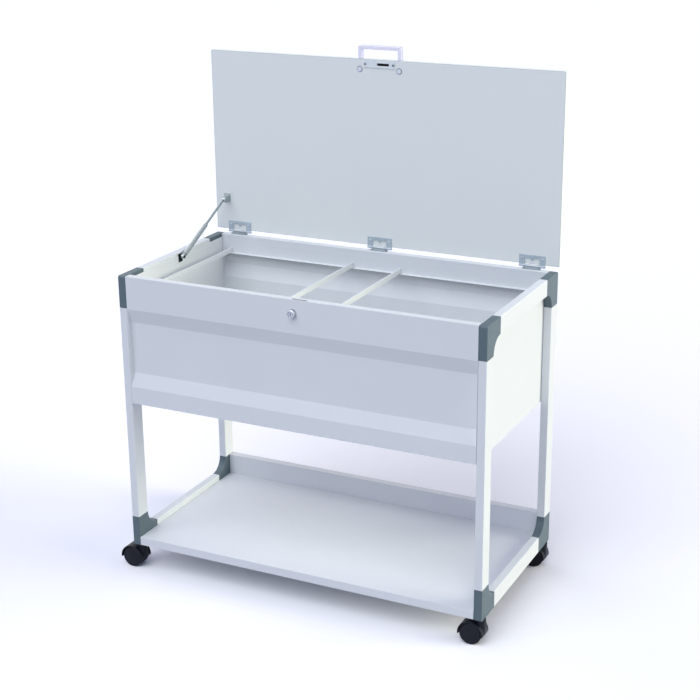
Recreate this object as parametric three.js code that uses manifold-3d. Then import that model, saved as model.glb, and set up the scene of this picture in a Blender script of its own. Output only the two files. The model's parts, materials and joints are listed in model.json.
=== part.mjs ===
// A mobile file cart: two tube side frames on casters carry a tub for hanging files and a low shelf.
// The tub has a hinged lid with a gas strut, a bow handle and a cam lock.
// Millimetres, +Z up, the front of the cart faces -Y. The lid stands open.
import * as THREE from "three";
import { mergeVertices } from "three/addons/utils/BufferGeometryUtils.js";
import Module from "manifold-3d";

// Overall sizes
const CART_WIDTH = 880; // over the outer faces of the side frames
const CART_DEPTH = 435; // front face to rear face of the posts
const RIM_HEIGHT = 721; // floor to the top of the tub
const FRAME_CLEARANCE = 60; // floor to the underside of the frames

// Clearances
const FIT = 0.3; // gap between pieces that touch
const RUNNING = 0.5; // gap beside pieces that turn or slide
const OVERCUT = 2; // how far a cutting body reaches past the face that it cuts

// Tube and knees of the side frames
const TUBE_THIN = 19; // across the cart
const TUBE_DEEP = 38; // in the plane of the side frame
const TUBE_WALL = 1.2;
const TUBE_CORNER = 1.8; // outer corner radius
const KNEE_LEG = 74; // from the outer corner to the end of each leg
const KNEE_CORNER = 5; // radius of the outer corner
const SPIGOT_LENGTH = 26; // reach of a knee into a tube

// Tub
const SHEET = 1.5;
const TUB_HEIGHT = 301; // rim to underside
const RIM_WIDTH = 18;
const SKIRT_DROP = 44; // rim to the top of the ledge
const LEDGE_WIDTH = 8;
const FLOOR_FLANGE = 14;
const WALL_DROP = 8; // rim to the top edge of a side wall
const RECESS_DEPTH = 12;
const RECESS_TOP_STRIP = 75.5; // flat strip above the recess
const RECESS_BOTTOM_STRIP = 41; // flat strip below the recess
const RECESS_UPPER_SLOPE = 33.5;
const RECESS_LOWER_SLOPE = 31.5;

// Hanging rails
const HANGING_SPACING = 330; // between the two rails of a pair
const HANGING_END = 28.7; // end of the tub to the middle of an outer rail
const HANGING_THICK = 3;
const HANGING_HEIGHT = 12;

// Shelf
const SHELF_HEIGHT = 83; // floor to the shelf surface
const SHELF_LIP = 20;
const STOP_THICK = 20;

// Lid and hinges
const LID_THICK = 15;
const LID_SIDE_OVERHANG = 2;
const LID_FRONT_OVERHANG = 4.5;
const LID_REAR_SET = 4; // hinge axis to the rear edge of the lid
const LID_STANDOFF = 1; // hinge axis to the inner face of the lid
const LID_OPEN_DEGREES = 90;
const HINGE_RISE = 6; // rim to the hinge axis
const HINGE_SET = 1; // rear face of the tub to the hinge axis
const HINGE_END = 62; // outer face of a side frame to the middle of an outer hinge
const HINGE_PIN_RADIUS = 1.5;
const BARREL_RADIUS = 3;
const LEAF_THICK = 2;
const LEAF_WIDTH = 62;
const LEAF_REACH = 25; // hinge axis to the far edge of the lid leaf
const WINDOW_WIDTH = 35;
const WINDOW_REACH = 18; // hinge axis to the far edge of the window
const NOSE_WIDTH = 15; // root of the pointed nose on the far edge of the window
const NOSE_TIP = 3;
const NOSE_REACH = 5;
const TONGUE_WIDTH = 42;
const TONGUE_REACH = 9; // hinge axis to the far edge of the base leaf

// Handle, strike plate and their fasteners
const HANDLE_SPAN = 98.5; // between the middles of the legs
const HANDLE_BAR = 8.5; // in the plane of the lid
const HANDLE_DEEP = 13; // through the thickness of the lid
const HANDLE_REACH = 30.5; // past the front edge of the lid
const HANDLE_INNER_RADIUS = 1.5;
const HANDLE_OUTER_RADIUS = 5;
const DOWEL_RADIUS = 2.5; // round end of a handle leg inside the lid
const FITTING_SET = 23.5; // front edge of the lid to a handle fitting
const FITTING_RADIUS = 7;
const FITTING_PROUD = 1;
const FITTING_DEPTH = 11.5;
const STRIKE_WIDTH = 78;
const STRIKE_DEPTH = 15.5;
const STRIKE_THICK = 1.2;
const STRIKE_SCREW_X = 35;
const SCREW_HEAD_RADIUS = 2.8;
const SCREW_HEAD_HEIGHT = 0.7;
const SCREW_RADIUS = 1.4;
const SCREW_LENGTH = 9;

// Lock
const LOCK_DROP = 30; // rim to the axis of the lock
const LOCK_HEAD_RADIUS = 9.5;
const LOCK_HEAD_LENGTH = 10;
const LOCK_BODY_RADIUS = 8.5;
const LOCK_BODY_LENGTH = 4.5; // behind the front face of the panel
const PLUG_RADIUS = 6;
const PLUG_TAIL_RADIUS = 3;
const PLUG_RECESS = 0.6; // face of the plug behind the face of the barrel
const KEY_SLOT_HEIGHT = 7;
const KEY_SLOT_WIDTH = 1.4;
const KEY_SLOT_DEPTH = 4;
const CAM_THICK = 3;
const CAM_REACH = 42;
const CAM_HALF_WIDTH = 3.5;
const CAM_BOSS_RADIUS = 7;
const CAM_AIR = 1.5; // beside the cam in its slots

// Strut
const STRUT_WALL_GAP = 9; // inner face of the left wall to the axis of the strut
const STRUT_FOOT_BACK = 210; // hinge axis to the foot pivot, towards the front
const STRUT_FOOT_DROP = 9; // rim to the foot pivot
const STRUT_LID_REACH = 81; // hinge axis to the lid pivot along the lid
const STRUT_LID_STANDOFF = 20.5; // inner face of the lid to the lid pivot
const CYLINDER_RADIUS = 5.3;
const ROD_RADIUS = 3.1;
const NECK_GAP = 12; // rod that still shows beside the lid pivot when the lid is shut
const TANG_LENGTH = 9; // foot pivot to the end of the cylinder
const BORE_FLOOR = 3; // thickness of the cylinder's closed end
const BORE_SPARE = 2;
const EYE_RADIUS = 5.5;
const EYE_THICK = 6.4;
const STUD_RADIUS = 2.5;
const FOOT_PLATE_THICK = 2;
const FOOT_PLATE_WIDTH = 14;
const FOOT_PLATE_ABOVE = 6; // foot pivot to the top of the plate
const FOOT_PLATE_BELOW = 13;
const LUG_AIR = 1; // between the rod's eye and the lug
const LUG_THICK = 3;
const LUG_HEIGHT = 14; // along the lid
const LID_PLATE_WIDTH = 17;
const LID_PLATE_HEIGHT = 22;
const LID_PLATE_THICK = 2;
const RIVET_HEIGHT = 1.5;

// Casters
const WHEEL_RADIUS = 25;
const WHEEL_WIDTH = 15;
const WHEEL_EDGE = 3; // rounding of the tread
const WHEEL_CROWN = 1.5; // rise of the outer face
const CASTER_TRAIL = 18; // swivel axis to the axle
const HOOD_THICK = 2.8;
const HOOD_AIR = 1.2; // between wheel and hood
const HOOD_DROP = 3; // how far the hood reaches below the axle
const WEB_THICK = 7;
const WEB_HUB_RADIUS = 11;
const AXLE_RADIUS = 3;
const AXLE_GRIP = 11; // reach of the axle into a wheel
const SWIVEL_RADIUS = 12;
const STEM_RADIUS = 5;
const STEM_LENGTH = 36; // reach into the knee

// Facets of round shapes
const ROUND_SEGMENTS = 32;
const SMALL_SEGMENTS = 16;
const ARC_SEGMENTS = 8;
const TUBE_CORNER_SEGMENTS = 3;
const WHEEL_CURVE_STEPS = 1;

// Places worked out from the sizes
const halfWidth = CART_WIDTH / 2;
const halfDepth = CART_DEPTH / 2;
const innerHalf = halfWidth - TUBE_THIN - FIT;
const wallInner = innerHalf - SHEET - FIT;
const tubeMiddleX = halfWidth - TUBE_THIN / 2;
const hingeY = halfDepth - HINGE_SET;
const hingeZ = RIM_HEIGHT + HINGE_RISE;
const lidTop = LID_STANDOFF + LID_THICK;
const lidFrontY = -halfDepth - LID_FRONT_OVERHANG - hingeY;
const lidAngle = -THREE.MathUtils.degToRad(LID_OPEN_DEGREES);
const camStart = LOCK_BODY_LENGTH + FIT;
const camMiddle = camStart + CAM_THICK / 2;
const strutX = -innerHalf + SHEET + STRUT_WALL_GAP;
const footY = hingeY - STRUT_FOOT_BACK;
const footZ = RIM_HEIGHT - STRUT_FOOT_DROP;

const wasm = await Module();
wasm.setup();

// The closed solid of a geometry
function solid(geometry) {
  geometry.deleteAttribute("normal");
  geometry.deleteAttribute("uv");
  const merged = mergeVertices(geometry);
  const mesh = new wasm.Mesh({
    numProp: 3,
    vertProperties: new Float32Array(merged.attributes.position.array),
    triVerts: new Uint32Array(merged.index.array),
  });
  return new wasm.Manifold(mesh);
}

// The geometry of a solid
function geometryOf(body) {
  const mesh = body.getMesh();
  const geometry = new THREE.BufferGeometry();
  geometry.setAttribute("position", new THREE.BufferAttribute(mesh.vertProperties, 3));
  geometry.setIndex(new THREE.BufferAttribute(mesh.triVerts, 1));
  geometry.computeVertexNormals();
  return geometry;
}

function join(...bodies) {
  return bodies.reduce((whole, body) => whole.add(body));
}

// A block between two values on each axis
function block([x0, x1], [y0, y1], [z0, z1]) {
  const geometry = new THREE.BoxGeometry(x1 - x0, y1 - y0, z1 - z0);
  geometry.translate((x0 + x1) / 2, (y0 + y1) / 2, (z0 + z1) / 2);
  return solid(geometry);
}

// For each axis, where the two axes of an outline and its thickness point
const DIRECTIONS = {
  x: [new THREE.Vector3(0, 1, 0), new THREE.Vector3(0, 0, 1), new THREE.Vector3(1, 0, 0)],
  y: [new THREE.Vector3(0, 0, 1), new THREE.Vector3(1, 0, 0), new THREE.Vector3(0, 1, 0)],
  z: [new THREE.Vector3(1, 0, 0), new THREE.Vector3(0, 1, 0), new THREE.Vector3(0, 0, 1)],
};

// An outline drawn in (y, z), (z, x) or (x, y), thickened along the remaining axis
function prism(axis, outline, from, to) {
  const geometry = new THREE.ExtrudeGeometry(outline, {
    depth: to - from,
    bevelEnabled: false,
    curveSegments: ARC_SEGMENTS,
  });
  geometry.translate(0, 0, from);
  geometry.applyMatrix4(new THREE.Matrix4().makeBasis(...DIRECTIONS[axis]));
  return solid(geometry);
}

// A round bar along an axis, its middle at [a, b] in the order that prism uses
function bar(axis, radius, from, to, [a, b] = [0, 0], segments = SMALL_SEGMENTS) {
  const geometry = new THREE.CylinderGeometry(radius, radius, to - from, segments);
  geometry.rotateX(Math.PI / 2);
  geometry.translate(a, b, (from + to) / 2);
  geometry.applyMatrix4(new THREE.Matrix4().makeBasis(...DIRECTIONS[axis]));
  return solid(geometry);
}

function polygon(points) {
  return new THREE.Shape(points.map(([a, b]) => new THREE.Vector2(a, b)));
}

function roundedRectangle(path, halfA, halfB, radius) {
  path.moveTo(-halfA + radius, -halfB);
  path.absarc(halfA - radius, -halfB + radius, radius, -Math.PI / 2, 0);
  path.absarc(halfA - radius, halfB - radius, radius, 0, Math.PI / 2);
  path.absarc(-halfA + radius, halfB - radius, radius, Math.PI / 2, Math.PI);
  path.absarc(-halfA + radius, -halfB + radius, radius, Math.PI, 1.5 * Math.PI);
  path.closePath();
  return path;
}

const PAINTED = { color: 0xdfe3e8, roughness: 0.45, metalness: 0.1 };
const GREY_PLASTIC = { color: 0x566471, roughness: 0.55, metalness: 0 };
const BLACK_PLASTIC = { color: 0x22262d, roughness: 0.5, metalness: 0 };
const STEEL = { color: 0xb4bec6, roughness: 0.35, metalness: 0.9 };
const CHROME = { color: 0xe2e6ea, roughness: 0.12, metalness: 1 };
const BOARD = { color: 0xe4e7ea, roughness: 0.5, metalness: 0 };

function piece(parent, name, geometry, finish) {
  const mesh = new THREE.Mesh(geometry, new THREE.MeshStandardMaterial(finish));
  mesh.name = name;
  parent.add(mesh);
  return mesh;
}

const SIDES = [["left", -1], ["right", 1]];
const ENDS = [["front", -1], ["rear", 1]];

// A straight length of the frame tube along Z
function tubeGeometry(length) {
  const outline = roundedRectangle(new THREE.Shape(), TUBE_THIN / 2, TUBE_DEEP / 2, TUBE_CORNER);
  const innerCorner = TUBE_CORNER - TUBE_WALL;
  const bore = roundedRectangle(
    new THREE.Path(),
    TUBE_THIN / 2 - TUBE_WALL,
    TUBE_DEEP / 2 - TUBE_WALL,
    innerCorner,
  );
  outline.holes.push(bore);
  const geometry = new THREE.ExtrudeGeometry(outline, {
    depth: length,
    bevelEnabled: false,
    curveSegments: TUBE_CORNER_SEGMENTS,
  });
  geometry.translate(0, 0, -length / 2);
  return geometry;
}

// A knee with its outer corner at the origin, one leg along +Y and one along +Z
function kneeGeometry(hasSocket) {
  const hollow = KNEE_LEG - TUBE_DEEP;
  const outline = new THREE.Shape();
  outline.moveTo(KNEE_CORNER, 0);
  outline.lineTo(KNEE_LEG, 0);
  outline.lineTo(KNEE_LEG, TUBE_DEEP);
  outline.absarc(KNEE_LEG, KNEE_LEG, hollow, -Math.PI / 2, -Math.PI, true);
  outline.lineTo(0, KNEE_LEG);
  outline.absarc(KNEE_CORNER, KNEE_CORNER, KNEE_CORNER, Math.PI, 1.5 * Math.PI);
  const elbow = prism("x", outline, -TUBE_THIN / 2, TUBE_THIN / 2);

  const margin = TUBE_WALL + FIT;
  const across = [-TUBE_THIN / 2 + margin, TUBE_THIN / 2 - margin];
  const deep = [margin, TUBE_DEEP - margin];
  const reach = [KNEE_LEG - OVERCUT, KNEE_LEG + SPIGOT_LENGTH];
  const knee = join(elbow, block(across, reach, deep), block(across, deep, reach));
  if (!hasSocket) return geometryOf(knee);
  const socketTop = STEM_LENGTH + OVERCUT;
  const socket = bar("z", STEM_RADIUS + FIT, -OVERCUT, socketTop, [0, TUBE_DEEP / 2]);
  return geometryOf(knee.subtract(socket));
}

function sideFrames() {
  const frames = new THREE.Group();
  const postLength = RIM_HEIGHT - FRAME_CLEARANCE - 2 * KNEE_LEG - 2 * FIT;
  const railLength = CART_DEPTH - 2 * KNEE_LEG - 2 * FIT;
  const levels = [
    ["low", FRAME_CLEARANCE, 1],
    ["top", RIM_HEIGHT, -1],
  ];
  for (const [side, sideSign] of SIDES) {
    const x = sideSign * tubeMiddleX;
    for (const [end, endSign] of ENDS) {
      const post = piece(frames, `post_${end}_${side}`, tubeGeometry(postLength), PAINTED);
      post.position.set(x, endSign * (halfDepth - TUBE_DEEP / 2), (FRAME_CLEARANCE + RIM_HEIGHT) / 2);
      for (const [level, z] of levels) {
        const geometry = kneeGeometry(level === "low");
        const knee = piece(frames, `knee_${level}_${end}_${side}`, geometry, GREY_PLASTIC);
        knee.position.set(x, endSign * halfDepth, z);
        // Half turns carry the low front knee to the other three corners
        if (level === "low" && end === "rear") knee.rotation.z = Math.PI;
        if (level === "top" && end === "front") knee.rotation.y = Math.PI;
        if (level === "top" && end === "rear") knee.rotation.x = Math.PI;
      }
    }
    for (const [level, z, up] of levels) {
      const rail = piece(frames, `rail_${level}_${side}`, tubeGeometry(railLength), PAINTED);
      rail.rotation.x = Math.PI / 2;
      rail.position.set(x, 0, z + (up * TUBE_DEEP) / 2);
    }
  }
  return frames;
}

// The pressed recess of a tub panel as a solid, its mouth at the given depth behind the outer face.
// It runs from one end fold of the panel to the other.
function recess(mouth) {
  const mouthTop = -RECESS_TOP_STRIP;
  const mouthBottom = -TUB_HEIGHT + RECESS_BOTTOM_STRIP;
  const [near, far] = [-SHEET / 2, RECESS_DEPTH].map((depth) => {
    const share = depth / RECESS_DEPTH;
    return [
      [mouth + depth, mouthTop - share * RECESS_UPPER_SLOPE],
      [mouth + depth, mouthBottom + share * RECESS_LOWER_SLOPE],
    ];
  });
  const end = innerHalf - SHEET;
  return prism("x", polygon([near[0], near[1], far[1], far[0]]), -end, end);
}

// A tub panel with its outer face at y = 0, its rim at z = 0 and the tub behind it
function tubPanel() {
  const wide = [-innerHalf, innerHalf];
  const skirtY = [RIM_WIDTH - SHEET, RIM_WIDTH];
  const ledgeY = [RIM_WIDTH - SHEET, RIM_WIDTH + LEDGE_WIDTH];
  const ledgeZ = [-SKIRT_DROP - SHEET, -SKIRT_DROP];
  const face = block(wide, [0, SHEET], [-TUB_HEIGHT, 0]);
  const pressed = join(face, recess(SHEET)).subtract(recess(0));
  const folds = [
    block(wide, [0, RIM_WIDTH], [-SHEET, 0]),
    block(wide, skirtY, [-SKIRT_DROP - SHEET, 0]),
    block([-wallInner, wallInner], ledgeY, ledgeZ),
    block(wide, [0, FLOOR_FLANGE], [-TUB_HEIGHT, -TUB_HEIGHT + SHEET]),
  ];
  for (const endX of [[-innerHalf, -innerHalf + SHEET], [innerHalf - SHEET, innerHalf]]) {
    folds.push(block(endX, [0, RIM_WIDTH], [-TUB_HEIGHT, 0]));
  }
  return join(pressed, ...folds);
}

// Reach of the swinging cam to the side, at a height above the axis of the lock
function camSweep(height) {
  const tip = Math.hypot(CAM_REACH, CAM_HALF_WIDTH);
  return Math.sqrt(tip * tip - height * height) + CAM_AIR;
}

function camSlot(height) {
  return [-CAM_HALF_WIDTH - CAM_AIR, camSweep(height)];
}

function tub() {
  const group = new THREE.Group();
  const panel = tubPanel();

  const lockHole = bar("y", LOCK_BODY_RADIUS + FIT, -OVERCUT, SHEET + OVERCUT, [-LOCK_DROP, 0]);
  const slotY = [camStart - CAM_AIR, camStart + CAM_THICK + CAM_AIR];
  const rimSlot = block(camSlot(LOCK_DROP - SHEET), slotY, [-SHEET - OVERCUT, OVERCUT]);
  const front = panel.subtract(lockHole).subtract(rimSlot);
  piece(group, "tub_front_panel", geometryOf(front), PAINTED).position.set(0, -halfDepth, RIM_HEIGHT);

  const rear = piece(group, "tub_rear_panel", geometryOf(panel), PAINTED);
  rear.position.set(0, halfDepth, RIM_HEIGHT);
  rear.rotation.z = Math.PI;

  const bottom = RIM_HEIGHT - TUB_HEIGHT;
  const wallEnd = halfDepth - RIM_WIDTH - FIT;
  const wall = block([-SHEET, 0], [-wallEnd, wallEnd], [bottom, RIM_HEIGHT - WALL_DROP]);
  for (const [side, sign] of SIDES) {
    const outer = sign > 0 ? innerHalf : -innerHalf + SHEET;
    piece(group, `tub_wall_${side}`, geometryOf(wall), PAINTED).position.x = outer;
  }

  const floorY = halfDepth - SHEET - FIT;
  const floorZ = bottom + SHEET + FIT;
  const floor = block([-wallInner, wallInner], [-floorY, floorY], [floorZ, floorZ + SHEET]);
  piece(group, "tub_floor", geometryOf(floor), PAINTED);

  const railZ = RIM_HEIGHT - SKIRT_DROP + FIT;
  const rail = block(
    [-HANGING_THICK / 2, HANGING_THICK / 2],
    [-wallEnd, wallEnd],
    [railZ, railZ + HANGING_HEIGHT],
  );
  const outerRailX = innerHalf - HANGING_END;
  for (const [side, sign] of SIDES) {
    const places = [["inner", outerRailX - HANGING_SPACING], ["outer", outerRailX]];
    for (const [place, x] of places) {
      piece(group, `hanging_rail_${side}_${place}`, geometryOf(rail), PAINTED).position.x = sign * x;
    }
  }
  return group;
}

function shelf() {
  const group = new THREE.Group();
  const wide = [-innerHalf, innerHalf];
  const rearY = halfDepth - STOP_THICK - FIT;
  const lipBottom = SHELF_HEIGHT - SHELF_LIP;
  const outer = block(wide, [-halfDepth, rearY], [lipBottom, SHELF_HEIGHT]);
  const hollow = block(
    [-innerHalf + SHEET, innerHalf - SHEET],
    [-halfDepth + SHEET, rearY - SHEET],
    [lipBottom - OVERCUT, SHELF_HEIGHT - SHEET],
  );
  piece(group, "shelf_tray", geometryOf(outer.subtract(hollow)), PAINTED);

  const stopTop = FRAME_CLEARANCE + KNEE_LEG;
  const stop = block(wide, [halfDepth - STOP_THICK, halfDepth], [lipBottom, stopTop]);
  const stopBore = block(
    [-innerHalf - OVERCUT, innerHalf + OVERCUT],
    [halfDepth - STOP_THICK + SHEET, halfDepth - SHEET],
    [lipBottom + SHEET, stopTop - SHEET],
  );
  piece(group, "shelf_rear_stop", geometryOf(stop.subtract(stopBore)), PAINTED);
  return group;
}

// Half the width of the middle knuckle, which turns between the two outer ones
const knuckleHalf = WINDOW_WIDTH / 2 - RUNNING;

// The lid's half of a hinge, closed, with the hinge axis along X through the origin
function lidLeafGeometry() {
  const face = LID_STANDOFF - FIT;
  const wide = [-LEAF_WIDTH / 2, LEAF_WIDTH / 2];
  const plate = block(wide, [-LEAF_REACH, 0], [face - LEAF_THICK, face]);
  const barrel = bar("x", BARREL_RADIUS, ...wide);
  const window = block(
    [-WINDOW_WIDTH / 2, WINDOW_WIDTH / 2],
    [-WINDOW_REACH, BARREL_RADIUS + OVERCUT],
    [-BARREL_RADIUS - OVERCUT, BARREL_RADIUS + OVERCUT],
  );
  const noseRoot = -WINDOW_REACH - OVERCUT;
  const noseEnd = -WINDOW_REACH + NOSE_REACH;
  const noseOutline = polygon([
    [-NOSE_WIDTH / 2, noseRoot],
    [NOSE_WIDTH / 2, noseRoot],
    [NOSE_TIP / 2, noseEnd],
    [-NOSE_TIP / 2, noseEnd],
  ]);
  const nose = prism("z", noseOutline, -BARREL_RADIUS - OVERCUT, BARREL_RADIUS + OVERCUT);
  const opening = window.subtract(nose);
  const pinHole = bar("x", HINGE_PIN_RADIUS + FIT, -LEAF_WIDTH, LEAF_WIDTH);
  return geometryOf(join(plate, barrel).subtract(opening).subtract(pinHole));
}

// The tub's half of a hinge with the pin fixed in its knuckle
function baseLeafGeometry() {
  const seat = -HINGE_RISE + FIT;
  const tongueX = [-TONGUE_WIDTH / 2, TONGUE_WIDTH / 2];
  const tongue = block(tongueX, [-TONGUE_REACH, HINGE_SET], [seat, seat + LEAF_THICK]);
  const saddle = block([-knuckleHalf, knuckleHalf], [-BARREL_RADIUS, BARREL_RADIUS], [seat, 0]);
  const knuckle = bar("x", BARREL_RADIUS, -knuckleHalf, knuckleHalf);
  const pin = bar("x", HINGE_PIN_RADIUS, -LEAF_WIDTH / 2, LEAF_WIDTH / 2);
  return geometryOf(join(tongue, saddle, knuckle, pin));
}

const outerHingeX = halfWidth - HINGE_END;
const HINGE_PLACES = [["left", -outerHingeX], ["middle", 0], ["right", outerHingeX]];

// Where the round end of a handle leg runs in the lid, in the order that a bar along Y takes
function dowelAt(sign) {
  return [LID_STANDOFF + LID_THICK / 2, (sign * HANDLE_SPAN) / 2];
}

// A bow in the middle plane of the lid, its legs ending in dowels that reach the handle fittings
function handleGeometry() {
  const half = HANDLE_BAR / 2;
  const legX = HANDLE_SPAN / 2;
  const legEnd = lidFrontY - FIT;
  const barY = lidFrontY - HANDLE_REACH;
  const innerX = legX - half - HANDLE_INNER_RADIUS;
  const innerY = barY + HANDLE_BAR + HANDLE_INNER_RADIUS;
  const outerX = legX + half - HANDLE_OUTER_RADIUS;
  const outerY = barY + HANDLE_OUTER_RADIUS;
  const bow = new THREE.Shape();
  bow.moveTo(legX + half, legEnd);
  bow.lineTo(legX - half, legEnd);
  bow.absarc(innerX, innerY, HANDLE_INNER_RADIUS, 0, -Math.PI / 2, true);
  bow.absarc(-innerX, innerY, HANDLE_INNER_RADIUS, -Math.PI / 2, -Math.PI, true);
  bow.lineTo(-legX + half, legEnd);
  bow.lineTo(-legX - half, legEnd);
  bow.absarc(-outerX, outerY, HANDLE_OUTER_RADIUS, Math.PI, 1.5 * Math.PI);
  bow.absarc(outerX, outerY, HANDLE_OUTER_RADIUS, -Math.PI / 2, 0);
  const middle = LID_STANDOFF + LID_THICK / 2;
  const dowels = SIDES.map(([, sign]) =>
    bar("y", DOWEL_RADIUS, legEnd - OVERCUT, lidFrontY + FITTING_SET, dowelAt(sign)),
  );
  return geometryOf(
    join(prism("z", bow, middle - HANDLE_DEEP / 2, middle + HANDLE_DEEP / 2), ...dowels),
  );
}

// The lid and all that moves with it, closed, with the hinge axis along X through the origin
function lid() {
  const group = new THREE.Group();
  const slotMiddleY = lidFrontY + LID_FRONT_OVERHANG + camMiddle;
  const slotY = [slotMiddleY - CAM_THICK / 2 - CAM_AIR, slotMiddleY + CAM_THICK / 2 + CAM_AIR];
  const strikeTop = LID_STANDOFF - FIT;
  const strikeBottom = strikeTop - STRIKE_THICK;
  const lockToAxis = LOCK_DROP + HINGE_RISE;
  const slotX = camSlot(lockToAxis + strikeBottom);
  const camTop = Math.hypot(CAM_REACH, CAM_HALF_WIDTH) - lockToAxis + CAM_AIR;

  const lidX = halfWidth + LID_SIDE_OVERHANG;
  const pocket = block(slotX, slotY, [LID_STANDOFF - OVERCUT, camTop]);
  const blank = block([-lidX, lidX], [lidFrontY, -LID_REAR_SET], [LID_STANDOFF, lidTop]);
  let board = blank.subtract(pocket);
  let strike = block(
    [-STRIKE_WIDTH / 2, STRIKE_WIDTH / 2],
    [slotMiddleY - STRIKE_DEPTH / 2, slotMiddleY + STRIKE_DEPTH / 2],
    [strikeBottom, strikeTop],
  ).subtract(block(slotX, slotY, [strikeBottom - OVERCUT, strikeTop + OVERCUT]));

  for (const [side, sign] of SIDES) {
    const fittingY = lidFrontY + FITTING_SET;
    const fittingAt = [(sign * HANDLE_SPAN) / 2, fittingY];
    const fittingZ = [LID_STANDOFF - FITTING_PROUD, LID_STANDOFF + FITTING_DEPTH];
    const dowelBore = bar("y", DOWEL_RADIUS + FIT, lidFrontY - OVERCUT, fittingY + FIT, dowelAt(sign));
    const fitting = bar("z", FITTING_RADIUS, ...fittingZ, fittingAt, ROUND_SEGMENTS).subtract(dowelBore);
    piece(group, `handle_fitting_${side}`, geometryOf(fitting), STEEL);
    const seat = bar("z", FITTING_RADIUS + FIT, -OVERCUT, fittingZ[1] + FIT, fittingAt, ROUND_SEGMENTS);
    board = board.subtract(seat).subtract(dowelBore);

    const screwAt = [sign * STRIKE_SCREW_X, slotMiddleY];
    const headTop = strikeBottom - FIT;
    const screwEnd = headTop + SCREW_LENGTH;
    const head = bar("z", SCREW_HEAD_RADIUS, headTop - SCREW_HEAD_HEIGHT, headTop, screwAt);
    const thread = bar("z", SCREW_RADIUS, headTop - SCREW_HEAD_HEIGHT / 2, screwEnd, screwAt);
    piece(group, `strike_screw_${side}`, geometryOf(join(head, thread)), STEEL);
    const screwHole = bar("z", SCREW_RADIUS + FIT, -OVERCUT, screwEnd + FIT, screwAt);
    board = board.subtract(screwHole);
    strike = strike.subtract(screwHole);
  }
  piece(group, "lid_panel", geometryOf(board), BOARD);
  piece(group, "strike_plate", geometryOf(strike), STEEL);
  piece(group, "lid_handle", handleGeometry(), STEEL);
  for (const [place, x] of HINGE_PLACES) {
    piece(group, `hinge_lid_leaf_${place}`, lidLeafGeometry(), STEEL).position.x = x;
  }

  // A plate on the lid with a lug beside the eye of the strut's rod
  const plateTop = LID_STANDOFF - FIT;
  const lugX = strutX + EYE_THICK / 2 + LUG_AIR;
  const pivot = [-STRUT_LID_REACH, LID_STANDOFF - STRUT_LID_STANDOFF];
  const plateEnd = lugX + LUG_THICK;
  const plate = block(
    [plateEnd - LID_PLATE_WIDTH, plateEnd],
    [pivot[0] - LID_PLATE_HEIGHT / 2, pivot[0] + LID_PLATE_HEIGHT / 2],
    [plateTop - LID_PLATE_THICK, plateTop],
  );
  const lug = block(
    [lugX, plateEnd],
    [pivot[0] - LUG_HEIGHT / 2, pivot[0] + LUG_HEIGHT / 2],
    [pivot[1], plateTop],
  );
  const lugEnd = bar("x", LUG_HEIGHT / 2, lugX, plateEnd, pivot, ROUND_SEGMENTS);
  const rivet = bar("x", STUD_RADIUS, lugX, plateEnd + RIVET_HEIGHT, pivot);
  piece(group, "strut_lid_bracket", geometryOf(join(plate, lug, lugEnd, rivet)), STEEL);

  group.position.set(0, hingeY, hingeZ);
  group.rotation.x = lidAngle;
  return group;
}

function baseLeaves() {
  const group = new THREE.Group();
  for (const [place, x] of HINGE_PLACES) {
    piece(group, `hinge_base_leaf_${place}`, baseLeafGeometry(), STEEL).position.set(x, hingeY, hingeZ);
  }
  return group;
}

// Where the lid's strut pivot lies, seen from the strut's foot, at a lid angle
function strutSpan(angle) {
  const pivot = new THREE.Vector2(-STRUT_LID_REACH, LID_STANDOFF - STRUT_LID_STANDOFF);
  pivot.rotateAround(new THREE.Vector2(), angle);
  return new THREE.Vector2(hingeY - footY + pivot.x, hingeZ - footZ + pivot.y);
}

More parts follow.
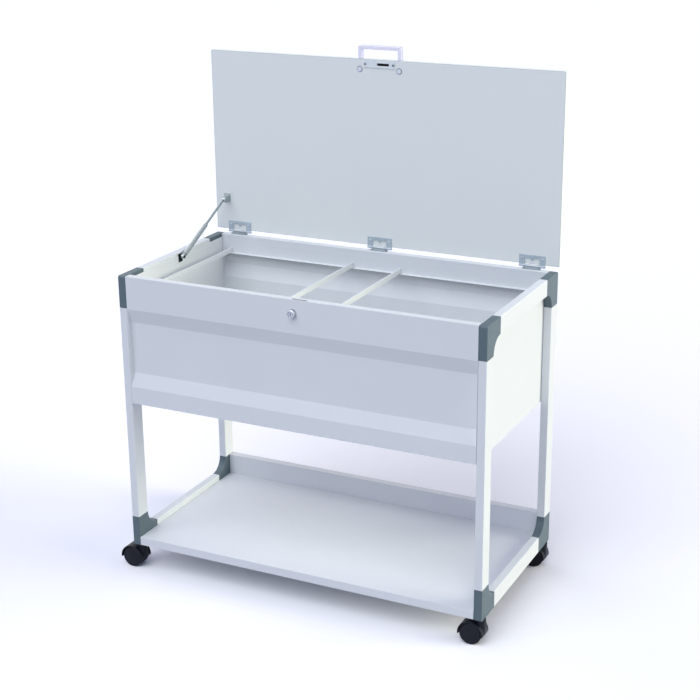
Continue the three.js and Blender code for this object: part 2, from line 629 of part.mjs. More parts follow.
function strut() {
  const group = new THREE.Group();
  const open = strutSpan(lidAngle);
  const shutLength = strutSpan(0).length();
  const cylinderEnd = shutLength - NECK_GAP;
  const boreStart = TANG_LENGTH + BORE_FLOOR;
  const rodStart = open.length() - shutLength + boreStart + BORE_SPARE;

  const wallFace = -STRUT_WALL_GAP + FIT;
  const footPlate = block(
    [wallFace, wallFace + FOOT_PLATE_THICK],
    [-FOOT_PLATE_WIDTH / 2, FOOT_PLATE_WIDTH / 2],
    [-FOOT_PLATE_BELOW, FOOT_PLATE_ABOVE],
  );
  const stud = bar("x", STUD_RADIUS, wallFace, EYE_THICK / 2 + RIVET_HEIGHT);
  const shoulder = bar("x", EYE_RADIUS, wallFace, -EYE_THICK / 2 - RUNNING);
  const foot = geometryOf(join(footPlate, stud, shoulder));
  const bracket = piece(group, "strut_foot_bracket", foot, BLACK_PLASTIC);
  bracket.position.set(strutX, footY, footZ);

  const swinging = new THREE.Group();
  const eye = bar("x", EYE_RADIUS, -EYE_THICK / 2, EYE_THICK / 2);
  const tangY = [0, TANG_LENGTH + BORE_FLOOR / 2];
  const tang = block([-EYE_THICK / 2, EYE_THICK / 2], tangY, [-ROD_RADIUS, ROD_RADIUS]);
  const barrel = bar("y", CYLINDER_RADIUS, TANG_LENGTH, cylinderEnd);
  const bore = bar("y", ROD_RADIUS + FIT, boreStart, cylinderEnd + OVERCUT);
  const studHole = bar("x", STUD_RADIUS + FIT, -EYE_RADIUS, EYE_RADIUS);
  const cylinder = join(eye, tang, barrel).subtract(bore).subtract(studHole);
  piece(swinging, "strut_cylinder", geometryOf(cylinder), STEEL);

  const rodEnd = open.length();
  const rodEye = bar("x", EYE_RADIUS, -EYE_THICK / 2, EYE_THICK / 2, [rodEnd, 0]);
  const rodHole = bar("x", STUD_RADIUS + FIT, -EYE_RADIUS, EYE_RADIUS, [rodEnd, 0]);
  const rod = bar("y", ROD_RADIUS, rodStart, rodEnd);
  piece(swinging, "strut_rod", geometryOf(join(rod, rodEye).subtract(rodHole)), CHROME);

  swinging.position.set(strutX, footY, footZ);
  swinging.rotation.x = open.angle();
  group.add(swinging);
  return group;
}

// A cam lock in the front rim; the cam lies to the right and swings up into the lid
function lock() {
  const group = new THREE.Group();
  const headFront = -LOCK_HEAD_LENGTH;
  const head = bar("y", LOCK_HEAD_RADIUS, headFront, -FIT, [0, 0], ROUND_SEGMENTS);
  const body = bar("y", LOCK_BODY_RADIUS, headFront / 2, LOCK_BODY_LENGTH, [0, 0], ROUND_SEGMENTS);
  const plugBore = bar("y", PLUG_RADIUS + FIT, headFront - OVERCUT, LOCK_BODY_LENGTH + OVERCUT);
  piece(group, "lock_barrel", geometryOf(join(head, body).subtract(plugBore)), CHROME);

  const plugFace = headFront + PLUG_RECESS;
  const tailEnd = camStart + CAM_THICK + PLUG_RECESS;
  const plug = join(
    bar("y", PLUG_RADIUS, plugFace, LOCK_BODY_LENGTH),
    bar("y", PLUG_TAIL_RADIUS, 0, tailEnd),
  );
  const keySlot = block(
    [-KEY_SLOT_WIDTH / 2, KEY_SLOT_WIDTH / 2],
    [plugFace - OVERCUT, plugFace + KEY_SLOT_DEPTH],
    [-KEY_SLOT_HEIGHT / 2, KEY_SLOT_HEIGHT / 2],
  );
  piece(group, "lock_plug", geometryOf(plug.subtract(keySlot)), STEEL);

  const camY = [camStart, camStart + CAM_THICK];
  const camBoss = bar("y", CAM_BOSS_RADIUS, ...camY);
  const camBar = block([0, CAM_REACH], camY, [-CAM_HALF_WIDTH, CAM_HALF_WIDTH]);
  const tailHole = bar("y", PLUG_TAIL_RADIUS + FIT, camStart - OVERCUT, camStart + CAM_THICK + OVERCUT);
  piece(group, "lock_cam", geometryOf(join(camBoss, camBar).subtract(tailHole)), STEEL);

  group.position.set(0, -halfDepth, RIM_HEIGHT - LOCK_DROP);
  return group;
}

// The hooded fork with its swivel stem on the Z axis and its axle trailing towards -X
function forkGeometry() {
  const axleAt = [WHEEL_RADIUS, -CASTER_TRAIL];
  const hoodInner = WHEEL_RADIUS + HOOD_AIR;
  const hoodOuter = hoodInner + HOOD_THICK;
  const hoodHalf = WEB_THICK / 2 + RUNNING + WHEEL_WIDTH;
  const swivelTop = FRAME_CLEARANCE - FIT;
  const hoodTop = [WHEEL_RADIUS - HOOD_DROP, WHEEL_RADIUS + hoodOuter];
  const spanX = [-CASTER_TRAIL - hoodOuter, -CASTER_TRAIL + hoodOuter];

  const dome = bar("y", hoodOuter, -hoodHalf, hoodHalf, axleAt, ROUND_SEGMENTS);
  const upper = block(spanX, [-hoodHalf, hoodHalf], hoodTop);
  const swivel = bar("z", SWIVEL_RADIUS, WHEEL_RADIUS, swivelTop, [0, 0], ROUND_SEGMENTS);
  const wheelRoom = bar("y", hoodInner, -hoodHalf - OVERCUT, hoodHalf + OVERCUT, axleAt, ROUND_SEGMENTS);
  const hood = join(dome.intersect(upper), swivel).subtract(wheelRoom);

  const webSpan = [-WEB_THICK / 2, WEB_THICK / 2];
  const webDisc = bar("y", hoodInner + HOOD_THICK / 2, ...webSpan, axleAt, ROUND_SEGMENTS);
  const web = webDisc.intersect(block(spanX, webSpan, hoodTop));
  const hub = bar("y", WEB_HUB_RADIUS, ...webSpan, axleAt, ROUND_SEGMENTS);
  const axleHalf = WEB_THICK / 2 + RUNNING + AXLE_GRIP;
  const axle = bar("y", AXLE_RADIUS, -axleHalf, axleHalf, axleAt);
  const stem = bar("z", STEM_RADIUS, swivelTop - OVERCUT, FRAME_CLEARANCE + STEM_LENGTH);
  return geometryOf(join(hood, web, hub, axle, stem));
}

// A wheel with its inner face at y = 0, a blind bore and a crowned outer face
function wheelGeometry() {
  const bore = AXLE_RADIUS + FIT;
  const outline = new THREE.Path();
  outline.moveTo(0, AXLE_GRIP + FIT);
  outline.lineTo(bore, AXLE_GRIP + FIT);
  outline.lineTo(bore, 0);
  outline.lineTo(WHEEL_RADIUS - WHEEL_EDGE, 0);
  outline.absarc(WHEEL_RADIUS - WHEEL_EDGE, WHEEL_EDGE, WHEEL_EDGE, -Math.PI / 2, 0);
  const shoulder = WHEEL_WIDTH - WHEEL_CROWN - WHEEL_EDGE;
  outline.absarc(WHEEL_RADIUS - WHEEL_EDGE, shoulder, WHEEL_EDGE, 0, Math.PI / 2);
  outline.quadraticCurveTo(WHEEL_RADIUS / 2, WHEEL_WIDTH, 0, WHEEL_WIDTH);
  return new THREE.LatheGeometry(outline.getPoints(WHEEL_CURVE_STEPS), ROUND_SEGMENTS);
}

function casters() {
  const group = new THREE.Group();
  for (const [end, endSign] of ENDS) {
    for (const [side, sideSign] of SIDES) {
      const caster = new THREE.Group();
      piece(caster, `caster_fork_${end}_${side}`, forkGeometry(), BLACK_PLASTIC);
      for (const [face, faceSign] of ENDS) {
        const name = `caster_wheel_${end}_${side}_${face}`;
        const wheel = piece(caster, name, geometryOf(solid(wheelGeometry())), BLACK_PLASTIC);
        wheel.position.set(-CASTER_TRAIL, faceSign * (WEB_THICK / 2 + RUNNING), WHEEL_RADIUS);
        if (face === "front") wheel.rotation.x = Math.PI;
      }
      caster.position.set(sideSign * tubeMiddleX, endSign * (halfDepth - TUBE_DEEP / 2), 0);
      group.add(caster);
    }
  }
  return group;
}

const cart = new THREE.Group();
cart.add(sideFrames(), tub(), shelf(), baseLeaves(), lid(), strut(), lock(), casters());

// The origin lies on the floor, under the middle of the cart's box
const box = new THREE.Box3().setFromObject(cart, true);
cart.position.set(-(box.min.x + box.max.x) / 2, -(box.min.y + box.max.y) / 2, -box.min.z);

export default cart;
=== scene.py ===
"""Looks of the mobile file cart: finishes, small fittings, floor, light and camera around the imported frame.

Metres and degrees, +Z up, the front of the cart faces -Y. The lid stands open at rest.
"""

import json
import math
from collections import namedtuple

import bmesh
import bpy
from mathutils import Matrix, Vector

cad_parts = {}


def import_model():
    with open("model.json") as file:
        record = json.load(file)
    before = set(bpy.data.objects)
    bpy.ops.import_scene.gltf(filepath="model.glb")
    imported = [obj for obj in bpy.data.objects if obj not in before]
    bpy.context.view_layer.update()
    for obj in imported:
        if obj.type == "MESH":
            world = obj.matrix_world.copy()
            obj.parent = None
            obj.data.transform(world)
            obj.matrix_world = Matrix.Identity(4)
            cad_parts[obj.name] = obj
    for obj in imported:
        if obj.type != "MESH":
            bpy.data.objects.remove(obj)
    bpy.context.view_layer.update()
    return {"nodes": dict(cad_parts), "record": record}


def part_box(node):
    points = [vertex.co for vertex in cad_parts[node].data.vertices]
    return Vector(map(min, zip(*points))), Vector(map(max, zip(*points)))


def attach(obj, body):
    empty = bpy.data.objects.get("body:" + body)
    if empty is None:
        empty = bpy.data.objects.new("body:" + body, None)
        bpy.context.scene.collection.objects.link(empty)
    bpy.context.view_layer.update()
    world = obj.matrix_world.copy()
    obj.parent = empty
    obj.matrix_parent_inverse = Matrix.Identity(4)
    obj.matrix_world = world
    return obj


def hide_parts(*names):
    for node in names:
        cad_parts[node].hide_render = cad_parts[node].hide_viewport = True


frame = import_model()

FORWARD = (0, -1, 0)
UP = Vector((0, 0, 1))
QUARTER_TURN = math.pi / 2

# Camera fitted to the photograph's frame
PHOTO_WIDTH = 700
CAMERA_AZIMUTH = 25.605
CAMERA_ELEVATION = 18.482
CAMERA_ROLL = -0.321
CAMERA_PLACE = Vector((1.46059, -2.85858, 1.64285))
FOCAL_PIXELS = 1493.51
PRINCIPAL_X = 368.89
PRINCIPAL_Y = 336.19
SENSOR = 36.0

# Lamps: azimuth 0 stands at the cart's right and 90 behind it, and softness is the angle that a lamp covers
Lamp = namedtuple("Lamp", "strength softness azimuth elevation colour")
LAMPS = {
    "side": Lamp(strength=2.95, softness=40, azimuth=14, elevation=14, colour=(1.0, 1.0, 0.8)),
    "front": Lamp(strength=1.95, softness=60, azimuth=-97, elevation=51, colour=(0.92, 0.98, 1.0)),
    "left": Lamp(strength=0.64, softness=60, azimuth=172, elevation=35, colour=(1.0, 0.96, 0.98)),
}
WORLD_AMBIENT = (0.125, 0.14, 0.3)
WORLD_SEEN = (1.0, 1.0, 1.0)

# Floor: seen rays get a colour a little above one, so that the lit floor is white and keeps the shadow
FLOOR_SIZE = 60
FLOOR_COLOUR = (1.09, 1.06, 1.06)
FLOOR_BOUNCE = (0.51, 0.52, 0.54)
FLOOR_LIFT = 0.02
FLOOR_LIFT_COLOUR = (0.1, 0.5, 1.0)

# Welding, flattening and shading of the meshes
WELD_DISTANCE = 1e-5
BEVEL_WELD = 2e-4
FLAT_LIMIT = 0.5
SMOOTH_LIMIT = 50
NORMAL_WEIGHT = 100


# Node trees

def opaque(colour):
    return (*colour, 1.0)


def shade(colour, factor):
    return tuple(channel * factor for channel in colour)


def add_node(tree, kind, **values):
    """A new node with constants on its sockets. A socket's name has underscores for its spaces."""
    node = tree.nodes.new(kind)
    for socket, value in values.items():
        node.inputs[socket.replace("_", " ")].default_value = value
    return node


def link_nodes(tree, *pairs):
    for source, target in pairs:
        tree.links.new(source, target)


# A noise's scale is per metre, or per unit of a stretched place. The depth of a bump is in metres
Range = namedtuple("Range", "low high")
Noise = namedtuple("Noise", "scale detail")
Bump = namedtuple("Bump", "noise strength depth")

# The middle part of a noise's values, where nearly all of them lie
NOISE_SPAN = Range(0.3, 0.7)


class Finish:
    """A procedural material: one principled shader and helpers that add texture nodes to it."""

    def __init__(self, name, **constants):
        self.material = bpy.data.materials.new(name)
        self.material.use_nodes = True
        self.tree = self.material.node_tree
        self.tree.nodes.clear()
        self.shader = self.add("ShaderNodeBsdfPrincipled", **constants)
        output = self.add("ShaderNodeOutputMaterial")
        self.link(self.shader.outputs["BSDF"], output.inputs["Surface"])
        self.place = self.add("ShaderNodeTexCoord").outputs["Object"]

    def add(self, kind, **values):
        return add_node(self.tree, kind, **values)

    def link(self, source, target):
        link_nodes(self.tree, (source, target))

    def feed(self, socket, source):
        self.link(source, self.shader.inputs[socket])

    def stretched(self, scale):
        """Object coordinates scaled unevenly."""
        node = self.add("ShaderNodeMapping", Scale=scale)
        self.link(self.place, node.inputs["Vector"])
        return node.outputs["Vector"]

    def noise(self, noise, place=None):
        node = self.add("ShaderNodeTexNoise", Scale=noise.scale, Detail=noise.detail)
        self.link(place or self.place, node.inputs["Vector"])
        return node.outputs["Fac"]

    def spread(self, value, target, source=NOISE_SPAN):
        """The value mapped from the source range to the target range."""
        node = self.add(
            "ShaderNodeMapRange",
            From_Min=source.low,
            From_Max=source.high,
            To_Min=target.low,
            To_Max=target.high,
        )
        self.link(value, node.inputs["Value"])
        return node.outputs["Result"]

    def tone(self, factor, *stops):
        """A colour from a ramp. Each stop is a position and a colour."""
        node = self.add("ShaderNodeValToRGB")
        elements = node.color_ramp.elements
        first, last = elements
        first.position = stops[0][0]
        last.position = stops[-1][0]
        for position, _ in stops[1:-1]:
            elements.new(position)
        for element, (_, colour) in zip(elements, stops):
            element.color = opaque(colour)
        self.link(factor, node.inputs["Fac"])
        return node.outputs["Color"]

    def compute(self, operation, first, second=0.0):
        node = self.add("ShaderNodeMath")
        node.operation = operation
        for socket, value in zip(node.inputs, (first, second)):
            if isinstance(value, (int, float)):
                socket.default_value = value
            else:
                self.link(value, socket)
        return node.outputs["Value"]

    def bump(self, bump, place=None):
        """Adds one more layer of bump to the layers that are there."""
        node = self.add("ShaderNodeBump", Strength=bump.strength, Distance=bump.depth)
        self.link(self.noise(bump.noise, place), node.inputs["Height"])
        socket = self.shader.inputs["Normal"]
        if socket.links:
            self.link(socket.links[0].from_socket, node.inputs["Normal"])
        self.link(node.outputs["Normal"], socket)


# Finishes

def grained(name, colour, dark, clouds, rough, grain, bumps=(), drawn=None, **constants):
    """A finish with a cloudy colour, uneven gloss and fine bumps.

    Dark is the share of the colour that its darkest clouds have. Drawn stretches the grain and the bumps.
    """
    finish = Finish(name, **constants)
    place = finish.stretched(drawn) if drawn else finish.place
    cloud = finish.noise(clouds)
    stops = [(NOISE_SPAN.low, shade(colour, dark)), (NOISE_SPAN.high, colour)]
    finish.feed("Base Color", finish.tone(cloud, *stops))
    finish.feed("Roughness", finish.spread(finish.noise(grain, place), rough))
    for bump in bumps:
        finish.bump(bump, place)
    return finish.material


def painted_steel(name, colour):
    """A powder coat: fine grain over a faint orange peel."""
    return grained(
        name,
        colour,
        dark=0.975,
        clouds=Noise(scale=7, detail=4),
        rough=Range(0.4, 0.5),
        grain=Noise(scale=60, detail=3),
        bumps=[
            Bump(Noise(scale=1300, detail=2), strength=0.4, depth=0.00012),
            Bump(Noise(scale=90, detail=2), strength=0.06, depth=0.00015),
        ],
        Specular_IOR_Level=0.3,
    )


# How much the roughness of a drawn metal varies
DRAWN_VARIATION = 0.12


def steel_like(name, colour, rough, metal=1.0):
    """A metal drawn along Z, of any tone and gloss."""
    return grained(
        name,
        colour,
        dark=0.88,
        clouds=Noise(scale=40, detail=4),
        rough=Range(rough, rough + DRAWN_VARIATION),
        grain=Noise(scale=1, detail=3),
        bumps=[Bump(Noise(scale=1, detail=2), strength=0.06, depth=0.00003)],
        drawn=(500, 500, 60),
        Metallic=metal,
    )


# Lid board: a skin and an edge band with a hair-line joint, around a core coloured near black as painted
# shade inside its cut-outs
BOARD_COLOUR = (0.875, 0.903, 0.855)
BOARD_DARK = 0.96
# Near-black core colour: painted shade of the deep cut-outs, not the core's own colour
BOARD_CORE_PAINTED_SHADE = (0.014, 0.014, 0.016)
BOARD_CLOUD = Range(0.6, 0.75)
SHADED_CORE_STOP = 0.0
DARK_STOP = 0.12
LIGHT_STOP = 0.7
BAND_THICKNESS = 0.0011
JOINT_FADE = Range(0.0001, 0.0003)
SKIN_THICKNESS = 0.0014


def lid_board():
    finish = Finish("lid_board", Specular_IOR_Level=0.25)
    low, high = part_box("lid_panel")
    axes = finish.add("ShaderNodeSeparateXYZ")
    finish.link(finish.place, axes.inputs["Vector"])

    def depth_across(names):
        """Distance to the board's nearest side across the named axes."""
        gaps = []
        for name in names:
            index = "XYZ".index(name)
            gaps.append(finish.compute("SUBTRACT", axes.outputs[name], low[index]))
            gaps.append(finish.compute("SUBTRACT", high[index], axes.outputs[name]))
        nearest = gaps[0]
        for gap in gaps[1:]:
            nearest = finish.compute("MINIMUM", nearest, gap)
        return nearest

    from_edge = depth_across("XZ")
    from_face = depth_across("Y")
    from_joint = finish.compute("ABSOLUTE", finish.compute("SUBTRACT", from_edge, BAND_THICKNESS))
    clear_of_joint = finish.spread(from_joint, Range(0.0, 1.0), JOINT_FADE)
    past_skin = [finish.compute("GREATER_THAN", depth, SKIN_THICKNESS) for depth in (from_edge, from_face)]
    outside_shaded_core = finish.compute("SUBTRACT", 1.0, finish.compute("MULTIPLY", *past_skin))
    cloud = finish.spread(finish.noise(Noise(scale=5, detail=4)), BOARD_CLOUD)
    face = finish.compute("MULTIPLY", finish.compute("MULTIPLY", cloud, clear_of_joint), outside_shaded_core)
    # Past the skin the board takes the near-black painted shade
    colour = finish.tone(
        face,
        (SHADED_CORE_STOP, BOARD_CORE_PAINTED_SHADE),
        (DARK_STOP, shade(BOARD_COLOUR, BOARD_DARK)),
        (LIGHT_STOP, BOARD_COLOUR),
    )
    finish.feed("Base Color", colour)
    finish.feed("Roughness", finish.spread(finish.noise(Noise(scale=45, detail=3)), Range(0.46, 0.58)))
    finish.bump(Bump(Noise(scale=1400, detail=2), strength=0.1, depth=0.00004))
    return finish.material


# Finishes by the record's material slots
FINISHES = {
    "painted_steel": painted_steel("painted_steel", (0.785, 0.806, 0.812)),
    "lid_board": lid_board(),
    "knee_plastic": grained(
        "knee_plastic",
        (0.09, 0.134, 0.155),
        dark=0.95,
        clouds=Noise(scale=30, detail=4),
        rough=Range(0.4, 0.52),
        grain=Noise(scale=120, detail=3),
        bumps=[Bump(Noise(scale=1500, detail=3), strength=0.45, depth=0.0001)],
        Specular_IOR_Level=0.5,
    ),
    "caster_plastic": grained(
        "caster_plastic",
        (0.004, 0.0065, 0.013),
        dark=0.8,
        clouds=Noise(scale=40, detail=4),
        rough=Range(0.32, 0.45),
        grain=Noise(scale=150, detail=3),
        bumps=[Bump(Noise(scale=1300, detail=2), strength=0.15, depth=0.00006)],
        Specular_IOR_Level=0.2,
    ),
    "wheel_plastic": grained(
        "wheel_plastic",
        (0.0045, 0.007, 0.0145),
        dark=0.75,
        clouds=Noise(scale=55, detail=4),
        rough=Range(0.36, 0.52),
        grain=Noise(scale=90, detail=4),
        bumps=[Bump(Noise(scale=900, detail=2), strength=0.15, depth=0.00006)],
        Specular_IOR_Level=0.2,
    ),
    "plated_steel": grained(
        "plated_steel",
        (0.58, 0.64, 0.73),
        dark=0.85,
        clouds=Noise(scale=25, detail=4),
        rough=Range(0.3, 0.45),
        grain=Noise(scale=1, detail=3),
        bumps=[Bump(Noise(scale=1, detail=2), strength=0.08, depth=0.00004)],
        drawn=(40, 40, 900),
        Metallic=1.0,
    ),
    "chrome": grained(
        "chrome",
        (0.5, 0.53, 0.58),
        dark=0.94,
        clouds=Noise(scale=60, detail=3),
        rough=Range(0.06, 0.16),
        grain=Noise(scale=300, detail=3),
        Metallic=1.0,
    ),
}

# Finishes of nodes that differ from their slot, by the start of the node's name
NODE_FINISHES = {
    "lid_handle": grained(
        "satin_handle",
        (0.64, 0.645, 0.76),
        dark=0.93,
        clouds=Noise(scale=30, detail=3),
        rough=Range(0.34, 0.48),
        grain=Noise(scale=1, detail=3),
        bumps=[Bump(Noise(scale=1, detail=2), strength=0.06, depth=0.00003)],
        drawn=(60, 700, 700),
        Metallic=1.0,
    ),
    # The shelf gets a lighter copy of the powder coat: painted bounce light from the floor
    "shelf_": painted_steel("shelf_paint_painted_bounce", (0.8, 0.815, 0.83)),
    "strike_plate": steel_like("strike_steel", (0.57, 0.63, 0.68), rough=0.34),
    "hinge_lid_leaf": steel_like("leaf_zinc", (0.5, 0.585, 0.645), rough=0.5, metal=0.25),
    # The hinge's base leaf is darker steel, painted shade under the lid leaf
    "hinge_base_leaf": steel_like("hinge_base_painted_shade", (0.36, 0.41, 0.46), rough=0.34),
    "lock_plug": steel_like("lock_plug_steel", (0.46, 0.5, 0.58), rough=0.25),
    "strut_cylinder": steel_like("strut_steel", (0.4, 0.45, 0.47), rough=0.22),
    "strut_rod": steel_like("rod_steel", (0.38, 0.43, 0.45), rough=0.14),
    "strut_lid_bracket": steel_like("bracket_steel", (0.4, 0.45, 0.47), rough=0.32),
}
# Darker steel for the strike screw heads: painted shade of their recesses
SCREW_PAINTED_SHADE = steel_like("screw_painted_shade", (0.17, 0.2, 0.26), rough=0.3)
# Darker steel for the handle fittings' rims: painted shade of the groove around each cap
RIM_PAINTED_SHADE = steel_like("rim_painted_shade", (0.36, 0.38, 0.46), rough=0.4)


# Rounded edges and smooth shading

def smooth_by_angle():
    """A node group that shades smooth across every edge below the limit."""
    group = bpy.data.node_groups.new("smooth_by_angle", "GeometryNodeTree")
    for direction in ("INPUT", "OUTPUT"):
        group.interface.new_socket("Geometry", in_out=direction, socket_type="NodeSocketGeometry")
    start = add_node(group, "NodeGroupInput")
    end = add_node(group, "NodeGroupOutput")
    faces = add_node(group, "GeometryNodeSetShadeSmooth")
    edges = add_node(group, "GeometryNodeSetShadeSmooth")
    edges.domain = "EDGE"
    angle = add_node(group, "GeometryNodeInputMeshEdgeAngle")
    limit = add_node(group, "FunctionNodeCompare", B=math.radians(SMOOTH_LIMIT))
    limit.operation = "LESS_THAN"
    link_nodes(
        group,
        (start.outputs["Geometry"], faces.inputs["Geometry"]),
        (faces.outputs["Geometry"], edges.inputs["Geometry"]),
        (edges.outputs["Geometry"], end.inputs["Geometry"]),
        (angle.outputs["Unsigned Angle"], limit.inputs["A"]),
        (limit.outputs["Result"], edges.inputs["Shade Smooth"]),
    )
    return group


SMOOTH_GROUP = smooth_by_angle()


def shade_smooth(piece):
    """Shades gentle edges smooth and lets the large faces lead the normals."""
    smooth = piece.modifiers.new("smooth", "NODES")
    smooth.node_group = SMOOTH_GROUP
    normals = piece.modifiers.new("normals", "WEIGHTED_NORMAL")
    normals.keep_sharp = True
    normals.weight = NORMAL_WEIGHT


def round_edges(node, rounding):
    """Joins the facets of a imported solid, rounds its edges and shades it smooth."""
    weld = node.modifiers.new("weld", "WELD")
    weld.merge_threshold = BEVEL_WELD if rounding.width else WELD_DISTANCE
    flat = node.modifiers.new("flat", "DECIMATE")
    flat.decimate_type = "DISSOLVE"
    flat.angle_limit = math.radians(FLAT_LIMIT)
    if rounding.width:
        edge = node.modifiers.new("edge", "BEVEL")
        edge.width = rounding.width
        edge.segments = rounding.segments
        edge.limit_method = "ANGLE"
        edge.angle_limit = math.radians(rounding.limit)
        edge.use_clamp_overlap = False
    shade_smooth(node)


# Rounding of edges that are sharper than the limit, by the start of the node's name
Rounding = namedtuple("Rounding", "width segments limit")
SHARP = Rounding(width=0, segments=0, limit=0)
ROUNDING = {
    "tub_": Rounding(width=0.0006, segments=2, limit=5),
    "shelf_": Rounding(width=0.0006, segments=2, limit=30),
    "hanging_": Rounding(width=0.0004, segments=2, limit=30),
    "post_": SHARP,
    "rail_": SHARP,
    "knee_": Rounding(width=0.0012, segments=3, limit=30),
    "lid_panel": Rounding(width=0.0004, segments=3, limit=30),
    "hinge_": Rounding(width=0.0003, segments=2, limit=30),
    "strike_plate": Rounding(width=0.0003, segments=2, limit=30),
    "lid_handle": Rounding(width=0.0008, segments=3, limit=40),
    "strut_": Rounding(width=0.0002, segments=2, limit=40),
    "lock_plug": Rounding(width=0.0005, segments=3, limit=40),
    "lock_cam": SHARP,
    "caster_fork": Rounding(width=0.0003, segments=2, limit=40),
}


def entry_for(name, table):
    """The entry whose key starts the name, or None."""
    for start, entry in table.items():
        if name.startswith(start):
            return entry
    return None


slot_of = {part["node"]: part["material_slot"] for part in frame["record"]["subparts"]}
for name, node in frame["nodes"].items():
    node.data.materials.clear()
    node.data.materials.append(entry_for(name, NODE_FINISHES) or FINISHES[slot_of[name]])
    rounding = entry_for(name, ROUNDING)
    if rounding:
        round_edges(node, rounding)


# Turned pieces

def add_piece(name, shape, material, body, stands_for=None):
    """Turns vertices and faces into a smooth piece that rides on a body."""
    vertices, faces = shape
    mesh = bpy.data.meshes.new(name)
    mesh.from_pydata(vertices, [], faces)
    cleaned = bmesh.new()
    cleaned.from_mesh(mesh)
    bmesh.ops.remove_doubles(cleaned, verts=cleaned.verts, dist=WELD_DISTANCE)
    bmesh.ops.recalc_face_normals(cleaned, faces=cleaned.faces)
    cleaned.to_mesh(mesh)
    cleaned.free()
    mesh.materials.append(material)
    piece = bpy.data.objects.new(name, mesh)
    bpy.context.scene.collection.objects.link(piece)
    shade_smooth(piece)
    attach(piece, body)
    if stands_for:
        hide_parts(stands_for)


def rings_mesh(rings):
    """Surface over rings of points, which have equally many. A ring of one point closes an end."""
    vertices = [point for ring in rings for point in ring]
    faces = []
    start = 0
    for near, far in zip(rings, rings[1:]):
        next_start = start + len(near)
        count = max(len(near), len(far))
        for index in range(count):
            following = (index + 1) % count
            corners = []
            for ring, first in ((near, start), (far, next_start)):
                if len(ring) == 1:
                    corners.append([first])
                else:
                    corners.append([first + index, first + following])
            faces.append(corners[0] + corners[1][::-1])
        start = next_start
    return vertices, faces


# Cross recess of a screw: its waist as a share of its reach, and the power that narrows its wings
RECESS_WAIST = 0.3
RECESS_NARROWING = 6


def cross_recess(angle):
    """Share of its reach that a cross-shaped driver recess has at an angle."""
    return RECESS_WAIST + (1 - RECESS_WAIST) * abs(math.cos(2 * angle)) ** RECESS_NARROWING


def lathe(profile, centre, axis, segments, recess_steps=()):
    """A turned shape. The profile holds radius and distance along the axis.

    The steps of the profile that are named as recess have the outline of a cross recess.
    """
    along = Vector(axis).normalized()
    across = along.orthogonal().normalized()
    beside = along.cross(across)
    rings = []
    for step, (radius, reach) in enumerate(profile):
        middle = Vector(centre) + along * reach
        if radius == 0:
            rings.append([middle])
            continue
        ring = []
        for index in range(segments):
            angle = 2 * math.pi * index / segments
            share = cross_recess(angle) if step in recess_steps else 1.0
            ring.append(middle + (across * math.cos(angle) + beside * math.sin(angle)) * radius * share)
        rings.append(ring)
    return rings_mesh(rings)


def quarter_arc(radius, reach, size, steps, start=0.0):
    """Profile points of a quarter circle of a size around a radius and a distance along the axis."""
    points = []
    for step in range(steps + 1):
        angle = start + QUARTER_TURN * step / steps
        points.append((radius + size * math.cos(angle), reach + size * math.sin(angle)))
    return points


# Screw heads: the profile is in shares of the radius and of the height
FITTING_SEGMENTS = 48
SCREW_PROFILE = (
    (0, 0),
    (1, 0),
    (1, 0.35),
    (0.93, 0.7),
    (0.8, 0.95),
    (0.66, 1),
    (0.5, 0.1),
    (0, 0.05),
)
SCREW_RECESS_STEPS = (5, 6)


def screw(name, centre, radius, height, material, stands_for=None):
    """A domed screw head on the lid with a cross recess that faces forward, its foot at the centre."""
    profile = [(across * radius, along * height) for across, along in SCREW_PROFILE]
    shape = lathe(profile, centre, FORWARD, FITTING_SEGMENTS, SCREW_RECESS_STEPS)
    add_piece(name, shape, material, "lid", stands_for)


# Hinge screws: the face of a leaf before the lid, the screw from the leaf's side and from its top
HINGE_SCREW_RADIUS = 0.0027
HINGE_SCREW_HEIGHT = 0.0008
HINGE_LEAF_FACE = 0.0023
HINGE_SCREW_SET = 0.00675
HINGE_SCREW_DROP = 0.0085

lid_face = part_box("lid_panel")[0].y

for side in ("left", "middle", "right"):
    low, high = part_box(f"hinge_lid_leaf_{side}")
    for end, x in (("a", low.x + HINGE_SCREW_SET), ("b", high.x - HINGE_SCREW_SET)):
        place = (x, lid_face - HINGE_LEAF_FACE, high.z - HINGE_SCREW_DROP)
        name = f"hinge_screw_{side}_{end}"
        screw(name, place, HINGE_SCREW_RADIUS, HINGE_SCREW_HEIGHT, FINISHES["plated_steel"])

for side in ("left", "right"):
    node = f"strike_screw_{side}"
    low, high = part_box(node)
    middle = (low + high) / 2
    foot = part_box("strike_plate")[0].y
    place = (middle.x, foot, middle.z)
    # The strike screw heads get the darker steel, painted shade of their recesses
    screw(f"strike_head_{side}", place, (high.x - low.x) / 2, foot - low.y, SCREW_PAINTED_SHADE, node)


# Handle fittings, a dimpled cap in a rim of darker steel that paints the shade around the cap: shares of the
# radius and of the height above the lid
FITTING_ROOT = 0.006
AT_ROOT = None
RIM_PROFILE = (
    (0.76, AT_ROOT),
    (0.97, AT_ROOT),
    (1, 0.1),
    (0.96, 0.5),
    (0.8, 0.5),
    (0.76, 0.3),
    (0.76, AT_ROOT),
)
CAP_PROFILE = (
    (0, AT_ROOT),
    (0.74, AT_ROOT),
    (0.74, 0.6),
    (0.68, 1),
    (0.26, 1),
    (0.2, 0.5),
    (0, 0.5),
)


